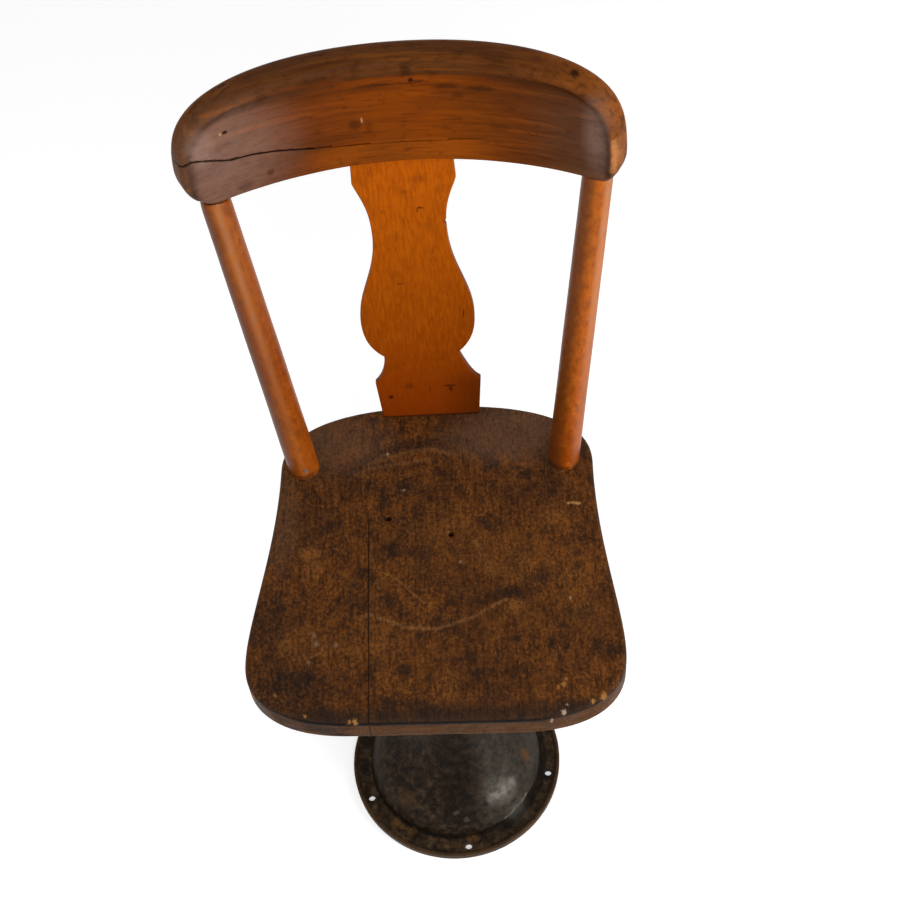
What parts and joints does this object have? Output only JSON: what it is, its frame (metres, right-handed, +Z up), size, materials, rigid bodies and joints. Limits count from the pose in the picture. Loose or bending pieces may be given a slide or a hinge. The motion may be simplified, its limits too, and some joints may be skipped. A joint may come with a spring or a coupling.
{
  "type": "pedestal chair",
  "caption": "Old wooden chair with a plank seat, turned posts, a vase-shaped splat and a bent crest rail, on a round bell-shaped cast-iron pedestal with a bolt-down flange.",
  "frame": {"origin": "on the floor, under the middle of the chair's outline", "axes": "+Z up, -Y towards the front of the seat, +X to the right as seen from in front of the chair"},
  "size_m": [0.4206, 0.4558, 0.9044],
  "materials": {
    "crest_wood": "worn, darkened varnish, satin",
    "splat_wood": "amber varnish, satin",
    "post_wood": "mottled brown varnish, satin",
    "seat_wood": "nearly black, worn varnish, scuffed",
    "cast_iron": "dark, mottled, with a rusty rim",
    "steel": "dull, darkened"
  },
  "bodies": {
    "root": {"crest_rail": "crest_wood", "splat": "splat_wood", "post_left": "post_wood", "post_right": "post_wood", "seat_board_left": "seat_wood", "seat_board_middle": "seat_wood", "seat_board_right": "seat_wood", "pedestal": "cast_iron", "seat_bracket": "cast_iron", "bracket_set_screw": "steel", "bracket_screw_1": "steel", "bracket_screw_2": "steel", "bracket_screw_3": "steel", "bracket_screw_4": "steel", "bracket_screw_5": "steel", "bracket_screw_6": "steel", "bracket_screw_7": "steel", "bracket_screw_8": "steel", "post_nail": "steel"}
  },
  "joints": []
}
